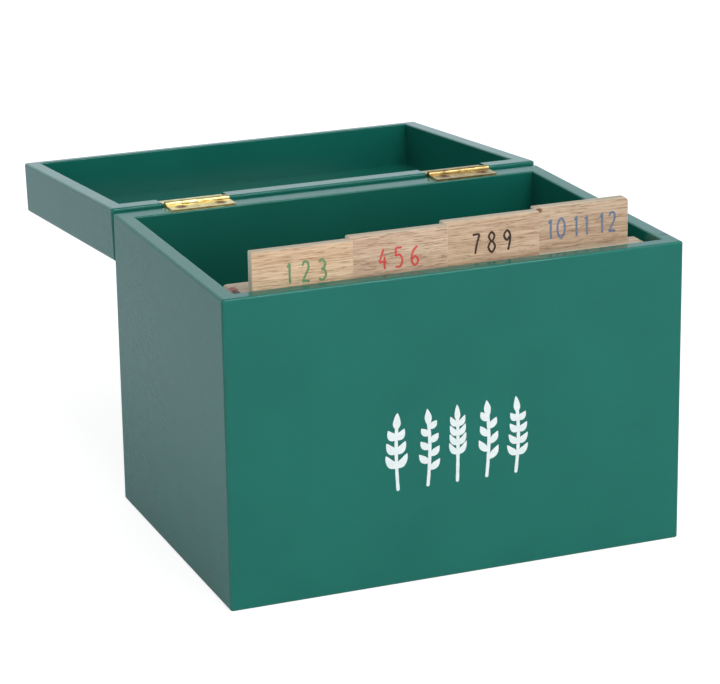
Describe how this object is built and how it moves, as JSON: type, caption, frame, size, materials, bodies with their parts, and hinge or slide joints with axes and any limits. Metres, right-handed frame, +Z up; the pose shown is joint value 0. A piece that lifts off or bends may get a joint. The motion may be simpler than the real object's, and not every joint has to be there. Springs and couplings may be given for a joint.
{
  "type": "seed organizer box",
  "caption": "Open-topped rectangular wooden box with a shallow hinged lid swung back, brass butt hinges and staggered tab dividers that slide in the well, for filing seed packets.",
  "frame": {"origin": "centre of the underside, on the surface that the box stands on", "axes": "+Z up, -Y towards the front of the box, +X to the right seen from the front; the open lid lies behind the box, towards +Y"},
  "size_m": [0.235, 0.3336, 0.1705],
  "materials": {
    "painted_wood": "satin green paint",
    "bare_wood": "pale oak, lightly sealed",
    "brass": "polished"
  },
  "bodies": {
    "base": {"front_board": "painted_wood", "back_board": "painted_wood", "left_board": "painted_wood", "right_board": "painted_wood", "bottom_panel": "painted_wood", "left_hinge_base_leaf": "brass", "left_hinge_pin": "brass", "left_hinge_base_screws": "brass", "right_hinge_base_leaf": "brass", "right_hinge_pin": "brass", "right_hinge_base_screws": "brass"},
    "lid": {"lid_front_rail": "painted_wood", "lid_back_rail": "painted_wood", "lid_left_rail": "painted_wood", "lid_right_rail": "painted_wood", "lid_top_panel": "painted_wood", "left_hinge_lid_leaf": "brass", "left_hinge_lid_screws": "brass", "right_hinge_lid_leaf": "brass", "right_hinge_lid_screws": "brass"},
    "divider_1": {"divider_1": "bare_wood"},
    "divider_2": {"divider_2": "bare_wood"},
    "divider_3": {"divider_3": "bare_wood"},
    "divider_4": {"divider_4": "bare_wood"}
  },
  "joints": [
    {"name": "lid_hinge", "type": "hinge", "parent": "base", "child": "lid", "pos_m": [0, 0.0841, 0.15355], "axis": [1, 0, 0], "range_deg": [0, 184.8]},
    {"name": "divider_1_slide", "type": "slide", "parent": "base", "child": "divider_1", "axis": [0, 1, 0], "range_m": [0, 0.03097]},
    {"name": "divider_2_slide", "type": "slide", "parent": "divider_1", "child": "divider_2", "axis": [0, 1, 0], "range_m": [0, 0.03097]},
    {"name": "divider_3_slide", "type": "slide", "parent": "divider_2", "child": "divider_3", "axis": [0, 1, 0], "range_m": [0, 0.03097]},
    {"name": "divider_4_slide", "type": "slide", "parent": "divider_3", "child": "divider_4", "axis": [0, 1, 0], "range_m": [0, 0.03097]}
  ]
}
